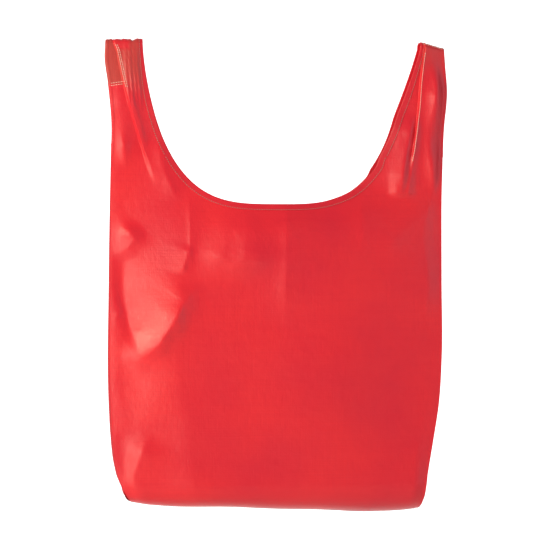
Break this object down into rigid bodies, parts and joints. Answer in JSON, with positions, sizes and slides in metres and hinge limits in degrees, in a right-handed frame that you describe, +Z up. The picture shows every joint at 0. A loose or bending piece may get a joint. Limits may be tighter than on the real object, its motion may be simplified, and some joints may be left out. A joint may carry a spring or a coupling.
{
  "type": "foldable tote bag",
  "caption": "Thin cloth shopping bag in vest cut: two loop handles, deep round neckline, side gussets, and a stow pocket with a press stud.",
  "frame": {"origin": "on the rail that the bag hangs from: midway between the handles, at the height of the grips' undersides", "axes": "+Z up, from the bottom seam to the grips; +X to the right as one looks at the front; +Y from the front panel to the back panel"},
  "size_m": [0.42, 0.0738, 0.5941],
  "materials": {
    "red_cloth": "satin, fine plain weave",
    "red_tape": "matt, folded hem",
    "thread": "matt thread",
    "snap_metal": "polished"
  },
  "bodies": {
    "back": {"back_panel": "red_cloth", "back_neck_binding": "red_tape", "back_neck_stitching": "thread", "stow_pocket": "red_cloth", "snap_stud_flange": "snap_metal", "snap_stud": "snap_metal"},
    "front": {"front_panel": "red_cloth", "front_neck_binding": "red_tape", "front_neck_stitching": "thread"},
    "bottom_front": {"bottom_front_flap": "red_cloth"},
    "bottom_back": {"bottom_back_flap": "red_cloth", "bottom_seam_tape": "red_tape"},
    "pocket_lid": {"pocket_flap": "red_cloth", "snap_socket": "snap_metal", "snap_cap": "snap_metal"},
    "left_gusset_front": {"left_gusset_front_half": "red_cloth"},
    "left_gusset_back": {"left_gusset_back_half": "red_cloth"},
    "left_handle": {"left_handle_front_strap": "red_cloth", "left_handle_front_inner_binding": "red_tape", "left_handle_front_outer_binding": "red_tape", "left_handle_back_strap": "red_cloth", "left_handle_back_inner_binding": "red_tape", "left_handle_back_outer_binding": "red_tape", "left_handle_grip": "red_cloth", "left_handle_stitching": "thread"},
    "right_gusset_front": {"right_gusset_front_half": "red_cloth"},
    "right_gusset_back": {"right_gusset_back_half": "red_cloth"},
    "right_handle": {"right_handle_front_strap": "red_cloth", "right_handle_front_inner_binding": "red_tape", "right_handle_front_outer_binding": "red_tape", "right_handle_back_strap": "red_cloth", "right_handle_back_inner_binding": "red_tape", "right_handle_back_outer_binding": "red_tape", "right_handle_grip": "red_cloth", "right_handle_stitching": "thread"}
  },
  "joints": [
    {"name": "fold_flat", "type": "hinge", "parent": "back", "child": "front", "pos_m": [0, 0, -0.13], "axis": [1, 0, 0], "range_deg": [0, 7.5]},
    {"name": "left_gusset_front_crease", "type": "hinge", "parent": "front", "child": "left_gusset_front", "pos_m": [-0.21, -0.0175, -0.353], "axis": [0, -0.0782, -0.9969], "range_deg": [0, 38]},
    {"name": "left_gusset_back_crease", "type": "hinge", "parent": "back", "child": "left_gusset_back", "pos_m": [-0.21, 0.0175, -0.353], "axis": [0, -0.0782, 0.9969], "range_deg": [0, 38]},
    {"name": "right_gusset_front_crease", "type": "hinge", "parent": "front", "child": "right_gusset_front", "pos_m": [0.21, -0.0175, -0.353], "axis": [0, 0.0782, 0.9969], "range_deg": [0, 38]},
    {"name": "right_gusset_back_crease", "type": "hinge", "parent": "back", "child": "right_gusset_back", "pos_m": [0.21, 0.0175, -0.353], "axis": [0, 0.0782, -0.9969], "range_deg": [0, 38]},
    {"name": "bottom_front_crease", "type": "hinge", "parent": "front", "child": "bottom_front", "pos_m": [0, -0.0363, -0.576], "axis": [-1, 0, 0], "range_deg": [0, 57.5]},
    {"name": "bottom_back_crease", "type": "hinge", "parent": "back", "child": "bottom_back", "pos_m": [0, 0.0363, -0.576], "axis": [1, 0, 0], "range_deg": [0, 57.5]},
    {"name": "left_handle_fold", "type": "hinge", "parent": "back", "child": "left_handle", "pos_m": [-0.175, 0, -0.13], "axis": [1, 0, 0], "range_deg": [-110, 110]},
    {"name": "right_handle_fold", "type": "hinge", "parent": "back", "child": "right_handle", "pos_m": [0.175, 0, -0.13], "axis": [1, 0, 0], "range_deg": [-110, 110]},
    {"name": "pocket_lid_hinge", "type": "hinge", "parent": "back", "child": "pocket_lid", "pos_m": [0, 0.01439, -0.33513], "axis": [-1, 0, 0], "range_deg": [0, 175]}
  ],
  "couplings": [
    {"joint": "left_gusset_front_crease", "follows": "fold_flat", "ratio": 5.04},
    {"joint": "left_gusset_back_crease", "follows": "fold_flat", "ratio": 5.04},
    {"joint": "right_gusset_front_crease", "follows": "fold_flat", "ratio": 5.04},
    {"joint": "right_gusset_back_crease", "follows": "fold_flat", "ratio": 5.04},
    {"joint": "bottom_front_crease", "follows": "fold_flat", "ratio": 7.6},
    {"joint": "bottom_back_crease", "follows": "fold_flat", "ratio": 7.6}
  ]
}
